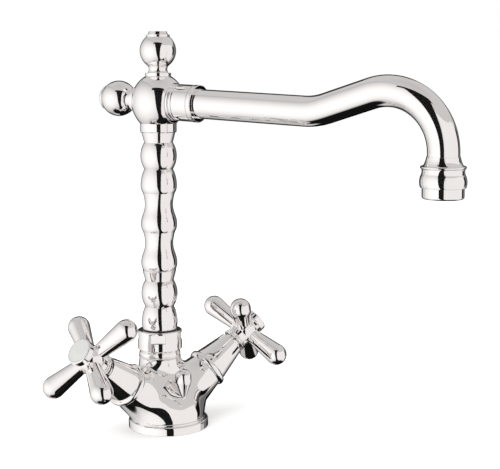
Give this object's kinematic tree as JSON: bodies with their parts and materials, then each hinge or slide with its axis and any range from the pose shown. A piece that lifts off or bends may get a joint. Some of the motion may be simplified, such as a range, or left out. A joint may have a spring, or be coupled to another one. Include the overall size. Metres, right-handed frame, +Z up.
{
  "type": "two-handle kitchen mixer",
  "caption": "Retro one-hole kitchen mixer in polished chrome with lever crossheads, a turned swivelling column, ball hub and swan spout with aerator.",
  "frame": {"origin": "centre of the base on the deck (the middle of the base's underside)", "axes": "+Z up; -Y towards the user; +X to the cold valve, -X to the hot valve; the spout stands 17.6 degrees from -Y towards +X"},
  "size_m": [0.179, 0.2557, 0.2672],
  "materials": {
    "polished_chrome": "mirror-polished chrome plate on brass",
    "bare_brass": "machined brass, unplated",
    "plain_steel": "stainless steel, machined",
    "black_rubber": "matt moulded rubber",
    "dark_acetal": "turned dark grey acetal",
    "white_acetal": "moulded off-white acetal",
    "valve_ceramic": "lapped alumina",
    "index_enamel": "pale grey glazed porcelain, plain"
  },
  "bodies": {
    "body": {"mixer_body": "polished_chrome", "hose_block": "bare_brass", "base_ring": "polished_chrome", "base_gasket": "black_rubber", "swivel_nut": "polished_chrome", "swivel_washer": "dark_acetal", "slide_ring": "white_acetal", "hot_bell_cover": "polished_chrome", "hot_cartridge": "bare_brass", "hot_cartridge_seal": "black_rubber", "hot_fixed_disc": "valve_ceramic", "cold_bell_cover": "polished_chrome", "cold_cartridge": "bare_brass", "cold_cartridge_seal": "black_rubber", "cold_fixed_disc": "valve_ceramic"},
    "spout": {"column": "polished_chrome", "column_seals": "black_rubber", "spout_hub": "polished_chrome", "top_finial": "polished_chrome", "rear_finial": "polished_chrome", "spout_collar": "polished_chrome", "collar_seal": "black_rubber", "spout_tube": "polished_chrome", "spout_nozzle": "polished_chrome", "aerator_shell": "polished_chrome", "aerator_insert": "white_acetal", "aerator_seal": "black_rubber"},
    "hot_handle": {"hot_crosshead": "polished_chrome", "hot_index_ring": "polished_chrome", "hot_index_disc": "index_enamel", "hot_handle_screw": "plain_steel", "hot_spindle": "bare_brass", "hot_moving_disc": "valve_ceramic"},
    "cold_handle": {"cold_crosshead": "polished_chrome", "cold_index_ring": "polished_chrome", "cold_index_disc": "index_enamel", "cold_handle_screw": "plain_steel", "cold_spindle": "bare_brass", "cold_moving_disc": "valve_ceramic"}
  },
  "joints": [
    {"name": "spout_swivel", "type": "hinge", "parent": "body", "child": "spout", "pos_m": [0, 0.0093, 0.0583], "axis": [0, 0, 1], "continuous": true},
    {"name": "hot_handle_turn", "type": "hinge", "parent": "body", "child": "hot_handle", "pos_m": [0, 0.0056, 0.00775], "axis": [-0.7944, -0.1159, 0.5962], "range_deg": [0, 90]},
    {"name": "cold_handle_turn", "type": "hinge", "parent": "body", "child": "cold_handle", "pos_m": [0, 0.0056, 0.00775], "axis": [0.7944, -0.1159, 0.5962], "range_deg": [-90, 0]}
  ]
}
